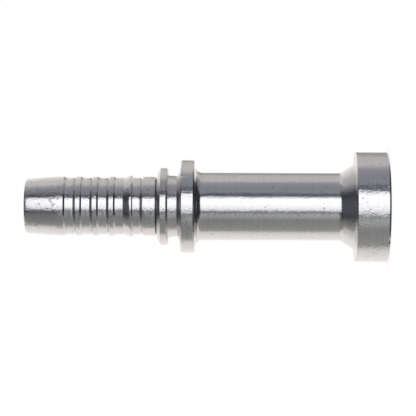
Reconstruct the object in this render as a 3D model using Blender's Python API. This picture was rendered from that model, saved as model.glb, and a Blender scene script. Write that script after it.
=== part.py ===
"""Flange hose fitting, a one-piece turned steel insert for a 25 mm hydraulic hose.

The part stands on its sealing face. The origin is the centre of that face, and +Z runs
along the bore to the tip of the hose tail.
"""

from math import acos, ceil, pi, radians, sin, tan

import bmesh
import bpy
from mathutils import Matrix, Vector

MM = 0.001

# Turning
FACETS = 72
ARC_STEP = radians(18)

# Flange head, held by the two halves of a split clamp
HEAD_DIAMETER = 47.6 * MM
HEAD_THICKNESS = 14.2 * MM
FACE_EDGE_BREAK = 0.7 * MM
BACK_EDGE_BREAK = 0.25 * MM

# Seal groove in the sealing face
SEAL_RIM_WIDTH = 3.95 * MM
SEAL_GROOVE_WIDTH = 4.75 * MM
SEAL_GROOVE_DEPTH = 2.8 * MM
SEAL_GROOVE_FILLET = 0.4 * MM

# Bore, straight through, as the wall that it leaves under the hose tail's plain land
TAIL_WALL = 2.3 * MM
BORE_EDGE_BREAK = 0.3 * MM

# Neck and shank
NECK_SLOPE = radians(32.5)
NECK_RISE = 4.1 * MM
NECK_ROOT_FILLET = 1.6 * MM
NECK_BLEND = 2.6 * MM
SHANK_DIAMETER = 29.3 * MM
SHANK_LENGTH = 69.45 * MM

# Stop collar, which the ferrule is pushed up to
STOP_COLLAR_DIAMETER = 40.2 * MM
STOP_COLLAR_THICKNESS = 5.95 * MM
STOP_COLLAR_FILLET = 3.4 * MM
STOP_COLLAR_EDGE_BREAK = 0.5 * MM

# Lock groove, which the ferrule's inner lip is crimped into
LOCK_GROOVE_DEPTH = 3.2 * MM
LOCK_GROOVE_WIDTH = 5.5 * MM
LOCK_GROOVE_TAPER = 0.3 * MM
HUB_HEIGHT = 1.65 * MM
HUB_RISE = 3.2 * MM

# Lock collar
LOCK_COLLAR_DIAMETER = 33.3 * MM
LOCK_COLLAR_THICKNESS = 3.25 * MM
LOCK_COLLAR_EDGE_BREAK = 0.75 * MM
LOCK_COLLAR_SLOPE_LENGTH = 1.3 * MM
LOCK_COLLAR_SLOPE_DROP = 2.25 * MM
RELIEF_WIDTH = 0.9 * MM
RELIEF_DEPTH = 0.8 * MM

# Hose tail: plain land, and how far each feature stands above or below it
LAND_DIAMETER = 24.6 * MM
RIDGE_HEIGHT = 0.5 * MM
RIDGE_STEP_LENGTH = 0.75 * MM
NOTCH_LEAD = 0.35 * MM

SEAT_RIDGE_LENGTH = 5.45 * MM
SEAT_NOTCH_DEPTH = 0.9 * MM
SEAT_WALL_LENGTH = 0.6 * MM
SEAT_LAND_LENGTH = 3.25 * MM

BARB_HEIGHT = 0.95 * MM
BARB_STEP_LENGTH = 0.4 * MM
BARB_TOP_LENGTH = 0.95 * MM
BARB_RAMP_LENGTH = 2.65 * MM
BARB_UNDERCUT = 0.12 * MM
BARB_LAND_LENGTH = 3.4 * MM

RIDGE_COUNT = 3
RIDGE_TOP_LENGTH = 1.98 * MM
RIDGE_NOTCH_DEPTH = 0.8 * MM
RIDGE_WALL_LENGTH = 0.5 * MM
RIDGE_LAND_LENGTH = 3.61 * MM

# Nose of the tail
NOSE_HEIGHT = 0.5 * MM
NOSE_LAND_LENGTH = 2.6 * MM
NOSE_TAPER_LENGTH = 13.65 * MM
NOSE_TAPER_DROP = 1.05 * MM
TIP_BREAK_LENGTH = 0.6 * MM
TIP_BREAK_DROP = 0.5 * MM

# Zinc-plated steel
STEEL_COLOUR = (0.66, 0.67, 0.69, 1.0)
STEEL_ROUGHNESS = 0.24


def clear_scene():
    for item in list(bpy.data.objects):
        bpy.data.objects.remove(item, do_unlink=True)


def zinc_plated_steel():
    material = bpy.data.materials.new("zinc_plated_steel")
    material.use_nodes = True
    shader = material.node_tree.nodes["Principled BSDF"]
    shader.inputs["Base Color"].default_value = STEEL_COLOUR
    shader.inputs["Metallic"].default_value = 1.0
    shader.inputs["Roughness"].default_value = STEEL_ROUGHNESS
    return material


class Outline:
    """Corners of the turned section, in order, each with the radius of its fillet."""

    def __init__(self):
        self.corners = []

    def to(self, radius, height, fillet=0.0):
        self.corners.append((Vector((radius, height)), fillet))

    def climb(self, rise, length, fillet=0.0):
        """Adds the corner that lies rise further out and length further up."""
        last = self.corners[-1][0]
        self.to(last.x + rise, last.y + length, fillet)

    @property
    def height(self):
        return self.corners[-1][0].y

    def points(self):
        """The corners with every fillet drawn as an arc of short straight steps."""
        drawn = []
        count = len(self.corners)
        for i, (corner, fillet) in enumerate(self.corners):
            if not fillet:
                drawn.append(corner)
                continue
            before, fillet_before = self.corners[i - 1]
            after, fillet_after = self.corners[(i + 1) % count]
            room = min(
                (before - corner).length * (0.48 if fillet_before else 0.96),
                (after - corner).length * (0.48 if fillet_after else 0.96),
            )
            drawn += fillet_arc(before, corner, after, fillet, room)
        return drawn


def fillet_arc(before, corner, after, radius, room):
    """Points of the arc that touches both sides of a corner and takes up no more than room."""
    back = (before - corner).normalized()
    ahead = (after - corner).normalized()
    turn = pi - acos(max(-1.0, min(1.0, back.dot(ahead))))
    reach = radius * tan(turn / 2)
    if reach > room:
        reach = room
        radius = reach / tan(turn / 2)
    start = corner + back * reach
    centre = corner + (back + ahead).normalized() * (radius**2 + reach**2) ** 0.5
    steps = max(1, ceil(turn / ARC_STEP))
    side = 1.0 if back.x * ahead.y - back.y * ahead.x < 0 else -1.0
    spoke = start - centre
    return [centre + turned(spoke, side * turn * i / steps) for i in range(steps + 1)]


def turned(vector, angle):
    return Matrix.Rotation(angle, 2) @ vector


def bore_radius():
    return LAND_DIAMETER / 2 - TAIL_WALL


def add_sealing_face(outline):
    bore = bore_radius()
    rim = HEAD_DIAMETER / 2
    groove_outside = rim - SEAL_RIM_WIDTH
    groove_inside = groove_outside - SEAL_GROOVE_WIDTH
    outline.to(bore, BORE_EDGE_BREAK)
    outline.to(bore + BORE_EDGE_BREAK, 0)
    outline.to(groove_inside, 0)
    outline.to(groove_inside, SEAL_GROOVE_DEPTH, SEAL_GROOVE_FILLET)
    outline.to(groove_outside, SEAL_GROOVE_DEPTH, SEAL_GROOVE_FILLET)
    outline.to(groove_outside, 0)
    outline.to(rim - FACE_EDGE_BREAK, 0)
    outline.to(rim, FACE_EDGE_BREAK)


def add_head_and_shank(outline):
    rim = HEAD_DIAMETER / 2
    shank = SHANK_DIAMETER / 2
    outline.to(rim, HEAD_THICKNESS - BACK_EDGE_BREAK)
    outline.to(rim - BACK_EDGE_BREAK, HEAD_THICKNESS)
    outline.to(shank + NECK_RISE, HEAD_THICKNESS, NECK_ROOT_FILLET)
    outline.climb(-NECK_RISE, NECK_RISE / tan(NECK_SLOPE), NECK_BLEND)
    outline.to(shank, HEAD_THICKNESS + SHANK_LENGTH, STOP_COLLAR_FILLET)


def add_collars(outline):
    stop = STOP_COLLAR_DIAMETER / 2
    lock = LOCK_COLLAR_DIAMETER / 2
    floor = lock - LOCK_GROOVE_DEPTH - LOCK_GROOVE_TAPER
    outline.to(stop - STOP_COLLAR_EDGE_BREAK, outline.height)
    outline.climb(STOP_COLLAR_EDGE_BREAK, STOP_COLLAR_EDGE_BREAK)
    outline.climb(0, STOP_COLLAR_THICKNESS - 2 * STOP_COLLAR_EDGE_BREAK)
    outline.climb(-STOP_COLLAR_EDGE_BREAK, STOP_COLLAR_EDGE_BREAK)
    outline.to(floor + HUB_RISE, outline.height)
    outline.climb(-HUB_RISE, HUB_HEIGHT)
    outline.climb(LOCK_GROOVE_TAPER, LOCK_GROOVE_WIDTH - HUB_HEIGHT)
    outline.to(lock - LOCK_COLLAR_EDGE_BREAK, outline.height)
    outline.climb(LOCK_COLLAR_EDGE_BREAK, LOCK_COLLAR_EDGE_BREAK)
    outline.climb(0, LOCK_COLLAR_THICKNESS - LOCK_COLLAR_EDGE_BREAK)
    outline.climb(-LOCK_COLLAR_SLOPE_DROP, LOCK_COLLAR_SLOPE_LENGTH)
    outline.to(LAND_DIAMETER / 2 - RELIEF_DEPTH, outline.height + RELIEF_WIDTH)


def add_ridge(outline, top_length, wall_length, notch_depth, land_length):
    """The top of a ridge, its wall down into a notch, and the plain land that follows."""
    outline.climb(0, top_length)
    outline.climb(-RIDGE_HEIGHT - notch_depth, wall_length)
    outline.climb(notch_depth, NOTCH_LEAD)
    outline.climb(0, land_length)


def add_barb(outline):
    outline.climb(BARB_HEIGHT, BARB_STEP_LENGTH)
    outline.climb(0, BARB_TOP_LENGTH)
    outline.climb(-BARB_HEIGHT - BARB_UNDERCUT, BARB_RAMP_LENGTH)
    outline.climb(BARB_UNDERCUT, BARB_UNDERCUT)
    outline.climb(0, BARB_LAND_LENGTH)


def add_hose_tail(outline):
    outline.climb(RIDGE_HEIGHT + RELIEF_DEPTH, 0)
    add_ridge(outline, SEAT_RIDGE_LENGTH, SEAT_WALL_LENGTH, SEAT_NOTCH_DEPTH, SEAT_LAND_LENGTH)
    add_barb(outline)
    for _ in range(RIDGE_COUNT):
        outline.climb(RIDGE_HEIGHT, RIDGE_STEP_LENGTH)
        add_ridge(outline, RIDGE_TOP_LENGTH, RIDGE_WALL_LENGTH, RIDGE_NOTCH_DEPTH, RIDGE_LAND_LENGTH)
    outline.climb(NOSE_HEIGHT, RIDGE_STEP_LENGTH)
    outline.climb(0, NOSE_LAND_LENGTH)
    outline.climb(-NOSE_TAPER_DROP, NOSE_TAPER_LENGTH)
    outline.climb(-TIP_BREAK_DROP, TIP_BREAK_LENGTH)


def add_bore(outline):
    tip = outline.height
    outline.to(bore_radius() + BORE_EDGE_BREAK, tip)
    outline.to(bore_radius(), tip - BORE_EDGE_BREAK)


def turn_section(name, points, material):
    """Spins a closed section of (radius, height) points once round the Z axis."""
    shape = bmesh.new()
    ring = [shape.verts.new((p.x, 0, p.y)) for p in points]
    edges = [shape.edges.new((ring[i - 1], ring[i])) for i in range(len(ring))]
    bmesh.ops.spin(
        shape,
        geom=ring + edges,
        axis=(0, 0, 1),
        cent=(0, 0, 0),
        angle=2 * pi,
        steps=FACETS,
        use_merge=True,
    )
    bmesh.ops.recalc_face_normals(shape, faces=shape.faces)
    mesh = bpy.data.meshes.new(name)
    shape.to_mesh(mesh)
    shape.free()
    mesh.materials.append(material)
    mesh.shade_smooth()
    mesh.set_sharp_from_angle(angle=radians(20))
    solid = bpy.data.objects.new(name, mesh)
    bpy.context.scene.collection.objects.link(solid)
    return solid


def build():
    clear_scene()
    outline = Outline()
    add_sealing_face(outline)
    add_head_and_shank(outline)
    add_collars(outline)
    add_hose_tail(outline)
    add_bore(outline)
    turn_section("hose_fitting", outline.points(), zinc_plated_steel())


build()
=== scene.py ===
"""Looks of the flange hose fitting: its finish, the studio round it and the camera."""

from math import acos, atan, ceil, cos, hypot, pi, radians, sin, tan

import bpy
from mathutils import Matrix, Vector


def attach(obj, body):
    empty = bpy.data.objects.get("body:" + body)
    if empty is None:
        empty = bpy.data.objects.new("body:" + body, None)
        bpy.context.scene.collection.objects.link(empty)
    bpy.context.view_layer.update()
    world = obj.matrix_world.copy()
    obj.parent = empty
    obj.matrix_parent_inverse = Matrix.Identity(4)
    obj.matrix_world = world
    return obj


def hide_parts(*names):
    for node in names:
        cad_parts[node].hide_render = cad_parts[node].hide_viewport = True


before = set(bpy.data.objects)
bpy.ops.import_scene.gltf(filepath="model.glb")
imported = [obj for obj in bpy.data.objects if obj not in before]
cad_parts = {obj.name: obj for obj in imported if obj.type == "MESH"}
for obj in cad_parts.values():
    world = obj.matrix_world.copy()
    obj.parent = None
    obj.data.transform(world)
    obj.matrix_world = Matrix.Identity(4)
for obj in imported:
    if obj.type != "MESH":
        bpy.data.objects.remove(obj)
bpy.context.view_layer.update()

MM = 0.001
NODE = "hose_fitting"

# Camera, from places in the photograph in its own pixels
IMAGE_SIZE = 416
FACE_PIXEL = 387.3
AXIS_PIXEL = 206.4
EYE_PIXEL = 235.0
MM_PER_PIXEL = 0.4343
EYE_DISTANCE = 850 * MM
AXIS_TILT = radians(0.22)
SENSOR_WIDTH = 36.0
CLIP_START = 0.05

# Turned body: a turn up to SHARP_TURN belongs to a round surface and a sharper one is an edge. Chips
# reach only points further out than OUTSIDE, and BRACE keeps them from bending a long side
SEGMENTS = 280
OUTSIDE = 10.5 * MM
PLACE_DIGITS = 7
IN_PLANE = 1e-6
BRACE = 1.7 * MM
STRAIGHT = radians(0.5)
SHARP_TURN = radians(32)
EDGE_RADIUS = 0.14 * MM
INNER_RADIUS = 0.03 * MM
SOFT_REACH = 0.7 * MM
REACH_SHARE = 0.49
ARC_STEP = radians(30)
NORMAL_WEIGHT = 100

# Notches behind the hose ridges: the photograph shows them wider and steeper on the ridge's side
NOTCH_TURNS = (radians(125), radians(150))
NOTCH_DEPTH = 0.68 * MM
NOTCH_WALL_LEAN = 0.04 * MM
NOTCH_WIDENING = 0.15 * MM

# Plating: each noise has a scale, a detail and a roughness
STEEL = (0.688, 0.686, 0.69, 1)
ROUGHNESS = 0.17
GRAIN_ROUGHNESS = 0.10
MARKS = (700.0, 3.0, 0.6)
GRAIN = (2400.0, 2.0, 0.6)
DIMPLES = (1100.0, 2.0, 0.5)
WAVES = (240.0, 2.0, 0.5)
SPECKS = (1500.0, 3.0, 0.65)
PITS = (800.0, 1.0, 0.5)
PIT_EDGE = (0.70, 0.76)
MARK_SQUEEZE = 3.0
MARK_STRETCH = 0.02
MARK_HEIGHT = 0.008 * MM
GRAIN_HEIGHT = 0.026 * MM
DIMPLE_HEIGHT = 0.08 * MM
WAVE_HEIGHT = 0.09 * MM
SCRATCH_DEPTH = 0.012 * MM
PIT_DEPTH = 0.012 * MM
TONE = 0.77
MARK_TONE = 0.20
SPECK_TONE = 0.26
PIT_TONE = 0.35

# Scratches, kept in patches that cover a share of the surface
SCRATCH_SCALE = 210.0
SCRATCH_WIDTH = 0.006
SCRATCH_BEND = 0.4
PATCH_SCALE = 1.7 * SCRATCH_SCALE
PATCH_SHARE = 0.36
PATCH_EDGE = 0.05

# The shank is smoother than the rest, between these heights
SHANK_START = (15 * MM, 20 * MM)
SHANK_END = (80 * MM, 83 * MM)
SHANK_SMOOTHER = 0.45

# Wear, placed by millimetres above the sealing face and degrees from the camera towards the top
BRUISE_DEPTH = 0.075 * MM
BRUISE_EDGE = (1.2, 0.2)
BRUISES = [  # height, degrees, half length, half width in millimetres, lean in degrees
    (145.4, 9, 1.5, 0.35, 62), (144.2, 2, 1.2, 0.3, -38), (147.0, -6, 0.7, 0.4, 10),
    (146.0, 71, 5.5, 0.35, -12), (138.6, 66, 2.0, 0.3, 5), (150.5, 4, 0.5, 0.4, 0),
    (10.4, 5, 0.8, 0.45, 20), (9.0, -3, 0.5, 0.4, -30), (12.1, 9, 0.4, 0.35, 0),
    (6.4, -55, 3.2, 0.22, 25), (4.6, -49, 2.4, 0.2, -35), (9.8, -62, 2.0, 0.2, 8),
    (18.0, 6, 1.5, 0.18, 40), (19.4, -3, 1.0, 0.18, -35), (75.1, -9, 0.7, 0.3, 70),
    (52.0, 3, 0.6, 0.25, -20), (58.5, -48, 1.4, 0.22, 15), (33.0, 28, 0.9, 0.25, -50),
    (86.8, -20, 0.7, 0.3, 80), (96.8, -64, 0.7, 0.4, 0), (97.6, -56, 0.4, 0.3, 0),
]
CHIPS = [  # height, degrees, reach and depth in millimetres
    (88.9, -91, 1.7, 0.45), (89.4, 84, 1.1, 0.25), (84.0, 92, 1.2, 0.2), (89.5, 40, 0.8, 0.2),
    (95.5, -82, 1.0, 0.25), (98.2, 78, 0.8, 0.15), (0.4, -38, 1.5, 0.3), (0.5, 20, 1.0, 0.2),
    (0.4, -66, 1.2, 0.25), (14.1, -88, 0.9, 0.2), (14.1, 74, 0.8, 0.15), (156.2, -84, 0.9, 0.2),
]

# Studio: each ring has zones of an angle in degrees, a level and a tint. The angles go round the bore
# from the camera and are positive towards the bottom of the picture
WHITE = (1, 1, 1, 1)
BLACK = (0, 0, 0, 1)
AMBIENT_LEVEL = 0.75
DEEP = (0.85, 0.95, 1.5)
COOL = (0.965, 0.99, 1.08)
MOSSY = (0.965, 1.0, 0.965)
PLAIN = (1.0, 1.0, 0.965)
WARM = (1.035, 0.985, 0.965)
BESIDE_SHANK = [
    (-180, 1.0, WARM), (-168, 0.95, WARM), (-155, 0.30, WARM), (-142, 0.42, WARM),
    (-128, 0.60, WARM), (-97, 0.64, WARM), (-88, 0.35, COOL), (-60, 0.29, COOL),
    (-48, 0.36, COOL), (-43, 0.07, DEEP), (0, 0.07, DEEP), (20, 0.07, DEEP),
    (25, 0.60, MOSSY), (35, 0.46, MOSSY), (47, 0.28, MOSSY), (92, 0.36, PLAIN),
    (98, 0.78, WARM), (116, 0.95, WARM), (150, 1.05, WARM), (180, 1.0, WARM),
]
BESIDE_TAIL = [
    (-180, 1.0, WARM), (-160, 1.05, WARM), (-140, 0.92, WARM), (-116, 0.70, WARM),
    (-94, 0.70, WARM), (-83, 0.42, COOL), (-62, 0.27, COOL), (-49, 0.23, COOL),
    (-44, 0.03, DEEP), (0, 0.04, DEEP), (24, 0.04, DEEP), (30, 0.18, COOL),
    (50, 0.21, PLAIN), (80, 0.31, PLAIN), (88, 0.42, PLAIN), (95, 0.78, WARM),
    (108, 0.97, WARM), (145, 1.05, WARM), (180, 1.0, WARM),
]
PAST_HEAD = [
    (-180, 1.0, WARM), (-158, 1.0, WARM), (-142, 0.80, WARM), (-124, 0.62, WARM),
    (-106, 0.30, PLAIN), (-85, 0.26, PLAIN), (-60, 0.29, COOL), (24, 0.30, PLAIN),
    (80, 0.31, PLAIN), (88, 0.42, PLAIN), (95, 0.66, WARM), (108, 0.90, WARM), (180, 1.0, WARM),
]

# A direction's share along the bore, where one ring or shade gives way to the next
TAIL_RING_START = (0.03, 0.07)
HEAD_RING_START = (-0.3, -0.45)
TAIL_SHADE_START = (0.50, 0.62)
END_ZONE_START = (0.36, 0.50)
PAST_TAIL_SHADE = 0.24

# Dark zones at the ends of the room, with limits that are shares of a direction
ZONE_BLUR = 0.09
BACK_BLUR = 0.3
TAIL_SIDE_ZONE = {"lean": 0.62, "top": 1.05, "bottom": 0.98, "back": -0.5}
TAIL_SIDE_HAZE = [(0.0, (0.085, 0.088, 0.105)), (0.24, (0.08, 0.083, 0.1)), (0.4, (0.035, 0.038, 0.047))]
HEAD_SIDE_ZONE = {"lean": 0.0, "top": 0.64, "bottom": 0.52, "back": -0.75}
HEAD_SIDE_DARK = (0.02, 0.02, 0.026, 1)

# Softbox: its edges are angles round the bore, and its fade goes from edge to edge
LAMP_TOP = radians(-31)
LAMP_BOTTOM = radians(15)
LAMP_REACH = radians(26)
LAMP_DISTANCE = 1.15
LAMP_HEIGHT = 75 * MM
LAMP_LEVEL = 1.5
LAMP_FADE = [(0.0, 0.60), (0.12, 0.74), (0.35, 0.86), (0.6, 0.98), (1.0, 1.0)]

# Floor
FLOOR_HALF = 3.0
FLOOR_COLOUR = (0.9, 0.9, 0.9, 1)
FLOOR_GLOW = 1.4
FLOOR_GLOW_SHARE = 0.5


class Nodes:
    """Short way to add and link shader nodes."""

    def __init__(self, tree):
        self.tree = tree
        tree.nodes.clear()

    def add(self, kind, **inputs):
        node = self.tree.nodes.new("ShaderNode" + kind)
        for name, value in inputs.items():
            self.put(node, name.replace("_", " "), value)
        return node

    def put(self, node, name, value):
        socket = node.inputs[int(name)] if name.isdigit() else node.inputs[name]
        if isinstance(value, bpy.types.NodeSocket):
            self.tree.links.new(value, socket)
        else:
            socket.default_value = value

    def math(self, operation, a, b=0.0, clamp=False):
        node = self.tree.nodes.new("ShaderNodeMath")
        node.operation = operation
        node.use_clamp = clamp
        self.put(node, "0", a)
        self.put(node, "1", b)
        return node.outputs[0]

    def noise(self, place, scale, detail, roughness):
        node = self.add("TexNoise", Vector=place, Scale=scale, Detail=detail, Roughness=roughness)
        return node.outputs["Fac"]

    def ramp(self, factor, stops):
        node = self.add("ValToRGB", Fac=factor)
        elements = node.color_ramp.elements
        while len(elements) < len(stops):
            elements.new(0.5)
        for element, (position, colour) in zip(elements, stops):
            element.position = position
            element.color = (*colour, 1) if isinstance(colour, tuple) else (colour,) * 3 + (1,)
        return node.outputs["Color"]

    def mix(self, factor, first, second, blend="MIX"):
        node = self.tree.nodes.new("ShaderNodeMix")
        node.data_type = "RGBA"
        node.blend_type = blend
        self.put(node, "0", factor)
        self.put(node, "6", first)
        self.put(node, "7", second)
        return node.outputs[2]

    def mix_shaders(self, factor, first, second):
        node = self.add("MixShader", Fac=factor)
        self.put(node, "1", first.outputs[0])
        self.put(node, "2", second.outputs[0])
        return node

    def length(self, vector):
        node = self.tree.nodes.new("ShaderNodeVectorMath")
        node.operation = "LENGTH"
        self.put(node, "0", vector)
        return node.outputs["Value"]

    def step(self, value, low, high):
        node = self.tree.nodes.new("ShaderNodeMapRange")
        node.interpolation_type = "SMOOTHSTEP"
        self.put(node, "Value", value)
        self.put(node, "From Min", low)
        self.put(node, "From Max", high)
        return node.outputs["Result"]


def section_of(node):
    """The CAD node's section as a closed list of (radius, height) points, from its mesh."""
    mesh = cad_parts[node].data
    flat = {v.index: (round(v.co.x, PLACE_DIGITS), round(v.co.z, PLACE_DIGITS)) for v in mesh.vertices
            if abs(v.co.y) < IN_PLANE and v.co.x > 0}
    beside = {}
    for edge in mesh.edges:
        a, b = edge.vertices
        if a in flat and b in flat and flat[a] != flat[b]:
            beside.setdefault(flat[a], set()).add(flat[b])
            beside.setdefault(flat[b], set()).add(flat[a])
    start = min(beside, key=lambda p: (p[1], p[0]))
    loop = [start]
    ahead = max(beside[start])
    while ahead != start:
        loop.append(ahead)
        ahead = next(p for p in beside[ahead] if p != loop[-2])
    return [Vector(p) for p in loop]


def turn_at(section, i):
    """How far the section turns at its corner i, and the ways to the corners beside it."""
    back = (section[i - 1] - section[i]).normalized()
    ahead = (section[(i + 1) % len(section)] - section[i]).normalized()
    return pi - acos(max(-1.0, min(1.0, back.dot(ahead)))), back, ahead


def steep_notches(section):
    """Puts the foot of each ridge notch under its wall and makes its far side a longer slope."""
    low, high = NOTCH_TURNS
    feet = [i for i in range(len(section)) if low < turn_at(section, i)[0] < high]
    for i in feet:
        wall_top, land = section[i - 1], section[i + 1]
        section[i] = Vector((land.x - NOTCH_DEPTH, wall_top.y + NOTCH_WALL_LEAN))
        section[i + 1] = Vector((land.x, land.y + NOTCH_WIDENING))
    return section


def rounded(section):
    """Breaks every sharp corner by a small radius and smooths the faceted curves."""
    drawn = []
    for i, corner in enumerate(section):
        before = section[i - 1]
        after = section[(i + 1) % len(section)]
        turn, back, ahead = turn_at(section, i)
        if turn < STRAIGHT:
            drawn.append(corner)
            continue
        room = REACH_SHARE * min((before - corner).length, (after - corner).length)
        hollow = back.x * ahead.y - back.y * ahead.x > 0
        sharp_radius = INNER_RADIUS if hollow else EDGE_RADIUS
        wish = sharp_radius * tan(turn / 2) if turn > SHARP_TURN else SOFT_REACH
        reach = min(wish, room)
        radius = reach / tan(turn / 2)
        centre = corner + (back + ahead).normalized() * (radius**2 + reach**2) ** 0.5
        side = -1.0 if hollow else 1.0
        spoke = corner + back * reach - centre
        steps = max(2, ceil(turn / ARC_STEP))
        for k in range(steps + 1):
            drawn.append(centre + Matrix.Rotation(side * turn * k / steps, 2) @ spoke)
    return drawn


def braced(section):
    """Adds a point near both ends of each long side, so that a chip stays where it is."""
    drawn = []
    for i, start in enumerate(section):
        side = section[(i + 1) % len(section)] - start
        drawn.append(start)
        if side.length > 2 * BRACE:
            drawn += [start + side.normalized() * reach for reach in (BRACE, side.length - BRACE)]
    return drawn


def chipped(radius, height, angle):
    """The radius that is left at a point once the chips near it are knocked off."""
    for chip_height, degrees, reach, depth in CHIPS:
        turn = (angle - radians(degrees) + pi) % (2 * pi) - pi
        distance = hypot(height / MM - chip_height, turn * radius / MM) / reach
        radius -= depth * MM * max(0.0, 1.0 - distance**2)
    return radius


def turned_body(section, material):
    """Revolves the section round the Z axis, from the camera's side towards the top."""
    rings = len(section)
    points = []
    for i in range(SEGMENTS):
        angle = 2 * pi * i / SEGMENTS
        for p in section:
            radius = chipped(p.x, p.y, angle) if p.x > OUTSIDE else p.x
            points.append((radius * sin(angle), -radius * cos(angle), max(p.y, 0.0)))
    faces = []
    for i in range(SEGMENTS):
        here = i * rings
        there = (i + 1) % SEGMENTS * rings
        for j in range(rings):
            k = (j + 1) % rings
            faces.append((here + j, there + j, there + k, here + k))
    mesh = bpy.data.meshes.new("turned_body")
    mesh.from_pydata(points, [], faces)
    mesh.shade_smooth()
    mesh.materials.append(material)
    body = bpy.data.objects.new("turned_body", mesh)
    bpy.context.scene.collection.objects.link(body)
    weighted = body.modifiers.new("weighted_normals", "WEIGHTED_NORMAL")
    weighted.weight = NORMAL_WEIGHT
    return body


def sum_of(n, heights):
    """Adds up (noise, height in metres) pairs."""
    total = 0.0
    for noise, height in heights:
        total = n.math("ADD", n.math("MULTIPLY", noise, height), total)
    return total


def scratches(n, place):
    """Thin lines where a noise crosses its middle, kept in patches of the surface."""
    veins = n.add("TexNoise", Vector=place, Scale=SCRATCH_SCALE, Detail=1.0, Distortion=SCRATCH_BEND)
    middle = n.math("ABSOLUTE", n.math("SUBTRACT", veins.outputs["Fac"], 0.5))
    line = n.math("SUBTRACT", 1.0, n.step(middle, 0.0, SCRATCH_WIDTH))
    patches = n.add("TexNoise", Vector=place, Scale=PATCH_SCALE, Detail=0.0)
    patch_start = 1.0 - PATCH_SHARE
    return n.math("MULTIPLY", line, n.step(patches.outputs["Fac"], patch_start, patch_start + PATCH_EDGE))


def bruises(n, angle, radius, height):
    """A mask of the small dents in BRUISES, each an ellipse laid on the surface."""
    mask = 0.0
    for along, degrees, half_length, half_width, lean in BRUISES:
        rise = n.math("SUBTRACT", height, along * MM)
        swing = n.math("MULTIPLY", n.math("SUBTRACT", angle, radians(degrees)), radius)
        cosine, sine = cos(radians(lean)), sin(radians(lean))
        length = n.math("ADD", n.math("MULTIPLY", rise, cosine), n.math("MULTIPLY", swing, sine))
        width = n.math("SUBTRACT", n.math("MULTIPLY", swing, cosine), n.math("MULTIPLY", rise, sine))
        length_share = n.math("DIVIDE", length, half_length * MM)
        width_share = n.math("DIVIDE", width, half_width * MM)
        far = n.add("CombineXYZ", X=length_share, Y=width_share)
        mask = n.math("MAXIMUM", n.step(n.length(far.outputs[0]), *BRUISE_EDGE), mask)
    return mask


def zinc_plated_steel():
    """Bright zinc plating over a turned surface, with fine relief, scratches, pits and dents."""
    material = bpy.data.materials.new("zinc_plated_steel")
    material.use_nodes = True
    n = Nodes(material.node_tree)
    place = n.add("TexCoord").outputs["Object"]
    x, y, z = n.add("SeparateXYZ", Vector=place).outputs
    radius = n.length(n.add("CombineXYZ", X=x, Y=y).outputs[0])
    angle = n.math("ARCTAN2", x, n.math("MULTIPLY", y, -1.0))
    across = n.math("MULTIPLY", radius, MARK_SQUEEZE)
    upwards = n.math("MULTIPLY", z, MARK_SQUEEZE)
    onwards = n.math("MULTIPLY", x, MARK_STRETCH)
    turned_place = n.add("CombineXYZ", X=across, Y=upwards, Z=onwards).outputs[0]
    marks = n.noise(turned_place, *MARKS)
    grain = n.noise(place, *GRAIN)
    specks = n.noise(place, *SPECKS)
    pits = n.step(n.noise(place, *PITS), *PIT_EDGE)
    height = sum_of(n, [
        (marks, MARK_HEIGHT),
        (grain, GRAIN_HEIGHT),
        (n.noise(place, *DIMPLES), DIMPLE_HEIGHT),
        (n.noise(place, *WAVES), WAVE_HEIGHT),
        (scratches(n, place), -SCRATCH_DEPTH),
        (pits, -PIT_DEPTH),
        (bruises(n, angle, radius, z), -BRUISE_DEPTH),
    ])
    on_shank = n.math("SUBTRACT", n.step(z, *SHANK_START), n.step(z, *SHANK_END))
    height_share = n.math("SUBTRACT", 1.0, n.math("MULTIPLY", on_shank, SHANK_SMOOTHER))
    bump = n.add("Bump", Strength=1.0, Distance=1.0, Height=n.math("MULTIPLY", height, height_share))
    tone = n.math("ADD", n.math("MULTIPLY", marks, MARK_TONE), TONE)
    tone = n.math("ADD", n.math("MULTIPLY", specks, SPECK_TONE), tone)
    tone = n.math("MULTIPLY", tone, n.math("SUBTRACT", 1.0, n.math("MULTIPLY", pits, PIT_TONE)))
    grey = n.add("CombineColor", Red=tone, Green=tone, Blue=tone).outputs[0]
    colour = n.mix(1.0, STEEL, grey, blend="MULTIPLY")
    shine = n.add("BsdfPrincipled", Base_Color=colour, Metallic=1.0, Normal=bump.outputs[0])
    rough_grain = n.math("MULTIPLY", grain, GRAIN_ROUGHNESS)
    n.put(shine, "Roughness", n.math("ADD", rough_grain, ROUGHNESS - GRAIN_ROUGHNESS / 2))
    n.add("OutputMaterial", Surface=shine.outputs[0])
    return material


def ring(n, place, zones):
    """A ramp round the bore from (degrees, level, tint) zones."""
    stops = []
    for degrees, level, tint in zones:
        stops.append((0.5 + degrees / 360, tuple(level * share for share in tint)))
    return n.ramp(place, stops)


def end_zone(n, ahead, up, near, lean, top, bottom, back):
    """How far a direction lies in a dark end of the room, between its top, bottom and back."""
    tilt = n.math("MULTIPLY", ahead, lean)
    above = n.step(n.math("ADD", up, tilt), top - ZONE_BLUR, top + ZONE_BLUR)
    below = n.step(n.math("SUBTRACT", tilt, up), bottom - ZONE_BLUR, bottom + ZONE_BLUR)
    outside = n.math("MAXIMUM", above, below)
    zone = n.math("SUBTRACT", n.step(ahead, *END_ZONE_START), outside, clamp=True)
    return n.math("MULTIPLY", zone, n.step(near, back, back + BACK_BLUR))


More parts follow.
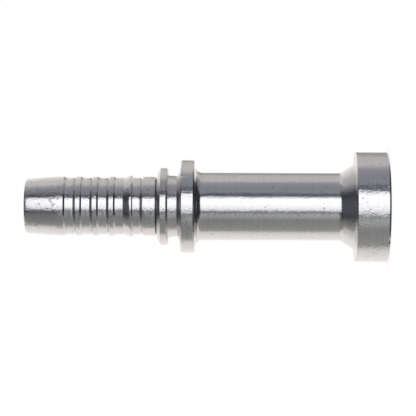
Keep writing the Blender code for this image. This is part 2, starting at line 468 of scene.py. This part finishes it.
def make_room():
    """The room that the metal reflects, a white table behind and grey walls before it."""
    world = bpy.data.worlds.new("studio")
    bpy.context.scene.world = world
    world.use_nodes = True
    n = Nodes(world.node_tree)
    way = n.add("SeparateXYZ", Vector=n.add("TexCoord").outputs["Generated"])
    up, along = way.outputs["X"], way.outputs["Z"]
    down = n.math("MULTIPLY", up, -1.0)
    near = n.math("MULTIPLY", way.outputs["Y"], -1.0)
    place = n.math("ADD", n.math("DIVIDE", n.math("ARCTAN2", down, near), 2 * pi), 0.5)
    room = ring(n, place, BESIDE_SHANK)
    room = n.mix(n.step(along, *TAIL_RING_START), room, ring(n, place, BESIDE_TAIL))
    room = n.mix(n.step(along, *HEAD_RING_START), room, ring(n, place, PAST_HEAD))
    past_tail = n.math("MULTIPLY", n.step(along, *TAIL_SHADE_START), PAST_TAIL_SHADE)
    room = n.mix(past_tail, room, BLACK)
    haze = n.ramp(n.math("ABSOLUTE", up), TAIL_SIDE_HAZE)
    room = n.mix(end_zone(n, along, up, near, **TAIL_SIDE_ZONE), room, haze)
    head_side = n.math("MULTIPLY", along, -1.0)
    room = n.mix(end_zone(n, head_side, up, near, **HEAD_SIDE_ZONE), room, HEAD_SIDE_DARK)
    reflected = n.add("Background", Color=room, Strength=1.0)
    ambient = n.add("Background", Color=WHITE, Strength=AMBIENT_LEVEL)
    white = n.add("Background", Color=WHITE, Strength=1.0)
    light = n.add("LightPath")
    lit = n.mix_shaders(light.outputs["Is Glossy Ray"], ambient, reflected)
    seen = n.mix_shaders(light.outputs["Is Camera Ray"], lit, white)
    n.add("OutputWorld", Surface=seen.outputs[0])


def make_lamp():
    """One large softbox, further off than the camera and a little above it in the picture."""
    middle = (LAMP_TOP + LAMP_BOTTOM) / 2
    half = (LAMP_BOTTOM - LAMP_TOP) / 2
    data = bpy.data.lights.new("softbox", "AREA")
    data.shape = "RECTANGLE"
    data.size = 2 * LAMP_DISTANCE * tan(half)
    data.size_y = 2 * LAMP_DISTANCE * tan(LAMP_REACH)
    data.energy = LAMP_LEVEL * pi * data.size * data.size_y
    data.use_nodes = True
    n = Nodes(data.node_tree)
    spot = n.add("SeparateXYZ", Vector=n.add("NewGeometry").outputs["Parametric"])
    glow = n.add("Emission", Color=n.ramp(spot.outputs["X"], LAMP_FADE), Strength=1.0)
    n.add("OutputLight", Surface=glow.outputs[0])
    lamp = bpy.data.objects.new("softbox", data)
    bpy.context.scene.collection.objects.link(lamp)
    lamp.visible_camera = False
    along = Vector((0, 0, 1))
    facing = Vector((-sin(middle), -cos(middle), 0))
    lamp_axes = Matrix((along.cross(facing), along, facing)).transposed().to_4x4()
    lamp.matrix_world = Matrix.Translation(along * LAMP_HEIGHT + facing * LAMP_DISTANCE) @ lamp_axes


def make_floor():
    """A white floor under the flange head, which shows a faint shadow."""
    material = bpy.data.materials.new("white_floor")
    material.use_nodes = True
    n = Nodes(material.node_tree)
    matt = n.add("BsdfDiffuse", Color=FLOOR_COLOUR)
    glow = n.add("Emission", Color=WHITE, Strength=FLOOR_GLOW)
    light = n.add("LightPath")
    share = n.math("MULTIPLY", light.outputs["Is Camera Ray"], FLOOR_GLOW_SHARE)
    n.add("OutputMaterial", Surface=n.mix_shaders(share, matt, glow).outputs[0])
    mesh = bpy.data.meshes.new("floor")
    half = FLOOR_HALF
    corners = [(-half, -half, 0), (half, -half, 0), (half, half, 0), (-half, half, 0)]
    mesh.from_pydata(corners, [], [(0, 1, 2, 3)])
    mesh.materials.append(material)
    floor = bpy.data.objects.new("floor", mesh)
    bpy.context.scene.collection.objects.link(floor)
    floor.visible_glossy = False
    floor.visible_shadow = False


def make_camera():
    """The photograph looks along +Y, with the bore's axis across the picture."""
    height = (FACE_PIXEL - EYE_PIXEL) * MM_PER_PIXEL * MM
    eye = Vector((0, -EYE_DISTANCE, height))
    focal_pixels = EYE_DISTANCE / (MM_PER_PIXEL * MM)
    data = bpy.data.cameras.new("photo_camera")
    data.sensor_width = SENSOR_WIDTH
    data.lens = focal_pixels * SENSOR_WIDTH / IMAGE_SIZE
    data.clip_start = CLIP_START
    camera = bpy.data.objects.new("photo_camera", data)
    bpy.context.scene.collection.objects.link(camera)
    across = Vector((0, 0, -1))
    up = Vector((1, 0, 0))
    back = Vector((0, -1, 0))
    facing = Matrix((across, up, back)).transposed().to_4x4()
    swing = Matrix.Rotation(atan((EYE_PIXEL - IMAGE_SIZE / 2) / focal_pixels), 4, "Y")
    nod = Matrix.Rotation(atan((AXIS_PIXEL - IMAGE_SIZE / 2) / focal_pixels), 4, "X")
    roll = Matrix.Rotation(AXIS_TILT, 4, "Z")
    camera.matrix_world = Matrix.Translation(eye) @ facing @ swing @ nod @ roll
    bpy.context.scene.camera = camera


def build():
    """The dressed fitting in its studio."""
    steel = zinc_plated_steel()
    body = turned_body(braced(rounded(steep_notches(section_of(NODE)))), steel)
    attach(body, "root")
    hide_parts(NODE)
    make_room()
    make_lamp()
    make_floor()
    make_camera()
    bpy.context.scene.view_settings.view_transform = "Standard"


build()
